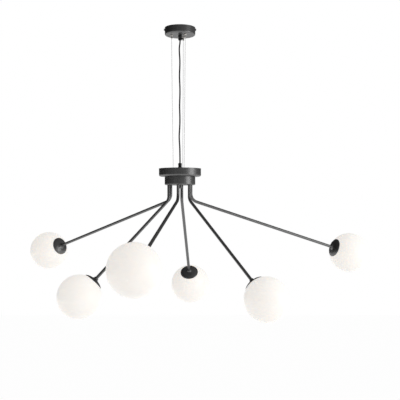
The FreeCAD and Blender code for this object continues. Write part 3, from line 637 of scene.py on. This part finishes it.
# %% Grip ribs
def ribbed_ring_tree():
    tree, given = start_tree("grip_ribs", {
        "Count": 3, "Ring": 1.0, "Rib": 1.0, "Length": 1.0, "Place": Vector(), "Towards": Vector(),
        "Finish": finishes["black_nylon"]})
    ring = node(tree, "GeometryNodeMeshCircle",
                {"Vertices": given["Count"], "Radius": given["Ring"]})
    rib = node(tree, "GeometryNodeMeshCylinder", {"Radius": given["Rib"], "Depth": given["Length"]},
               {"Vertices": 8})
    stood = node(tree, "GeometryNodeInstanceOnPoints",
                 {"Points": ring.outputs["Mesh"], "Instance": rib.outputs["Mesh"]})
    facing = node(tree, "FunctionNodeAlignRotationToVector", {"Vector": given["Towards"]},
                  axis="Z")
    placed = node(tree, "GeometryNodeTransform", {"Geometry": stood.outputs["Instances"],
                  "Rotation": facing.outputs["Rotation"], "Translation": given["Place"]})
    end_tree(tree, placed.outputs["Geometry"], given["Finish"])
    return tree


ribs = ribbed_ring_tree()
RIBBED_CAPS = (
    # name, body, count, then in mm: ring radius, rib radius, length, middle; and its axis
    ("cup_gland_ribs", "canopy", 24, 6.15, 0.34, 5.6, (0, 0, -40.4), (0, 0, 1)),
    ("clamp_knob_ribs", "canopy", 16, 2.76, 0.26, 4.8, (9.8, 0, -39.56), (1, 0, 0)),
    ("hub_gland_ribs", "hub", 24, 6.15, 0.34, 7.0, (0, 0, -486.4), (0, 0, 1)),
)
for name, body, count, ring, rib, length, place, towards in RIBBED_CAPS:
    grow(ribs, name, {"Count": count, "Ring": ring * MM, "Rib": rib * MM, "Length": length * MM,
         "Place": Vector(place) * MM, "Towards": Vector(towards),
         "Finish": finishes["black_nylon"]},
         body)
    print(name, "has", count, "ribs of", length, "mm")

# %% [markdown]
# ## Threads
# Inside the cup, a nut holds each wire gripper and the cord gland. The construction
# model leaves their shanks smooth. A Screw modifier could wind a thread too; a tree
# is used here because the same one then serves shanks of any size. A thread is one
# line that climbs by its pitch at every turn, so the tree draws a spiral and gives it
# a square section standing on its corner: the inner half is sunk in the shank, and
# the outer corner is the crest.

# %% Threads
CREST_SHARE = 0.42  # half of the section's height, as a share of the pitch


def thread_tree():
    tree, given = start_tree("thread", {
        "Shank": 1.0, "Pitch": 1.0, "Turns": 1.0, "Place": Vector(), "Finish": finishes["nickel"]})
    climb = math_node(tree, "MULTIPLY", given["Pitch"], given["Turns"])
    line = node(tree, "GeometryNodeCurveSpiral", {"Rotations": given["Turns"],
                "Start Radius": given["Shank"], "End Radius": given["Shank"], "Height": climb},
                {"Resolution": 28})
    level = node(tree, "GeometryNodeSetCurveNormal", {"Curve": line.outputs["Curve"]}, mode="Z_UP")
    section = node(tree, "GeometryNodeCurvePrimitiveCircle",
                   {"Radius": math_node(tree, "MULTIPLY", given["Pitch"], CREST_SHARE)},
                   {"Resolution": 4})
    thread = node(tree, "GeometryNodeCurveToMesh", {"Curve": level.outputs["Curve"],
                  "Profile Curve": section.outputs["Curve"]}, {"Fill Caps": True})
    placed = node(tree, "GeometryNodeTransform",
                  {"Geometry": thread.outputs["Mesh"], "Translation": given["Place"]})
    end_tree(tree, placed.outputs["Geometry"], given["Finish"])
    return tree


GRIPPER_PITCH = 1.25 * MM
GRIPPER_SHANK_RADIUS = 4.0 * MM
GRIPPER_NUT_TOP = -23.8 * MM
GRIPPER_TOP = -15.0 * MM
GLAND_PITCH = 1.0 * MM
GLAND_SHANK_RADIUS = 5.0 * MM
GLAND_THREAD_FOOT = -23.05 * MM

threads = thread_tree()
for number in WIRES:
    foot, top = wire_ends(number)
    turns = (GRIPPER_TOP - GRIPPER_NUT_TOP) / GRIPPER_PITCH - 1
    grow(threads, "gripper_thread_%d" % number, {
        "Shank": GRIPPER_SHANK_RADIUS, "Pitch": GRIPPER_PITCH, "Turns": turns,
        "Place": Vector((top.x, top.y, GRIPPER_NUT_TOP + GRIPPER_PITCH / 2)),
        "Finish": finishes["nickel"]}, "canopy")
    print("gripper thread", number, "has %.1f turns" % turns)
grow(threads, "cup_gland_thread", {
    "Shank": GLAND_SHANK_RADIUS, "Pitch": GLAND_PITCH, "Turns": 1.4,
    "Place": Vector((0, 0, GLAND_THREAD_FOOT)), "Finish": finishes["black_nylon"]},
    "canopy")

# %% [markdown]
# ## Studio
# The photograph is a plain product shot on white. Its soft light comes mostly from
# the right: the hub has one wide highlight, about halfway from its middle to its right
# edge, which puts the lamp 60 to 70 degrees round to the right and level with the
# hub. So the world is a soft room that is brighter on that side, with one large round
# lamp in it. A lamp to the left would lift the hub's dark side and lose its shape, so
# there is none. The room shows white to the camera, and so does the floor far below,
# which still takes a trace of the shadow.

# %% Studio
ROOM_DARK = 0.03
ROOM_BRIGHT = 0.31
BRIGHT_SIDE = Vector((0.92, -0.38, 0.10))
KEY_POWER = 20.0
KEY_SIZE = 1.8
KEY_PLACE = (2.75, -1.10, -0.60)
KEY_AIM = (0, 0, -0.65)
FLOOR_LEVEL = -3.6
FLOOR_SIZE = 40
FLOOR_GLOW_SHARE = 0.985


def white_stage_material():
    material, tree, shader = new_material("studio_white")
    shader.inputs["Base Color"].default_value = (0.90, 0.90, 0.90, 1)
    shader.inputs["Roughness"].default_value = 0.9
    glow = tree.nodes.new("ShaderNodeEmission")
    glow.inputs["Strength"].default_value = 1.0
    rays = tree.nodes.new("ShaderNodeLightPath")
    seen = math_node(tree, "MAXIMUM", rays.outputs["Is Camera Ray"], rays.outputs["Is Glossy Ray"])
    share = math_node(tree, "MULTIPLY", seen, FLOOR_GLOW_SHARE)
    blend = tree.nodes.new("ShaderNodeMixShader")
    tree.links.new(share, blend.inputs["Fac"])
    tree.links.new(shader.outputs["BSDF"], blend.inputs[1])
    tree.links.new(glow.outputs["Emission"], blend.inputs[2])
    tree.links.new(blend.outputs["Shader"], tree.nodes["Material Output"].inputs["Surface"])
    return material


def stage_floor(name, size, level, material):
    mesh = bpy.data.meshes.new(name)
    h = size / 2
    mesh.from_pydata([(-h, -h, 0), (h, -h, 0), (h, h, 0), (-h, h, 0)], [], [(0, 1, 2, 3)])
    mesh.materials.append(material)
    plane = bpy.data.objects.new(name, mesh)
    plane.location = (0, 0, level)
    bpy.context.scene.collection.objects.link(plane)


stage_floor("floor", FLOOR_SIZE, FLOOR_LEVEL, white_stage_material())

world = bpy.data.worlds.new("studio_world")
bpy.context.scene.world = world
world.use_nodes = True
world_tree = world.node_tree
background = world_tree.nodes["Background"]
background.inputs["Color"].default_value = (1.0, 1.0, 1.0, 1)
outward = node(world_tree, "ShaderNodeTexCoord").outputs["Generated"]
facing = node(world_tree, "ShaderNodeVectorMath", {0: outward}, {1: BRIGHT_SIDE},
              operation="DOT_PRODUCT")
room = spread(world_tree, facing.outputs["Value"], ROOM_DARK, ROOM_BRIGHT, source=(-1, 1))
world_tree.links.new(room, background.inputs["Strength"])
world_rays = world_tree.nodes.new("ShaderNodeLightPath")
seen_white = world_tree.nodes.new("ShaderNodeBackground")
seen_white.inputs["Color"].default_value = (1.0, 1.0, 1.0, 1)
seen_white.inputs["Strength"].default_value = 1.0
choose = world_tree.nodes.new("ShaderNodeMixShader")
world_tree.links.new(world_rays.outputs["Is Camera Ray"], choose.inputs["Fac"])
world_tree.links.new(background.outputs["Background"], choose.inputs[1])
world_tree.links.new(seen_white.outputs["Background"], choose.inputs[2])
world_tree.links.new(choose.outputs["Shader"], world_tree.nodes["World Output"].inputs["Surface"])


def soft_lamp(name, power, size, place, aim):
    data = bpy.data.lights.new(name, "AREA")
    data.shape = "DISK"
    data.size = size
    data.energy = power
    lamp = bpy.data.objects.new(name, data)
    lamp.location = place
    lamp.rotation_euler = (Vector(aim) - Vector(place)).to_track_quat("-Z", "Y").to_euler()
    bpy.context.scene.collection.objects.link(lamp)


soft_lamp("key_lamp", KEY_POWER, KEY_SIZE, KEY_PLACE, KEY_AIM)
print("the lamp, the room and the floor are set")
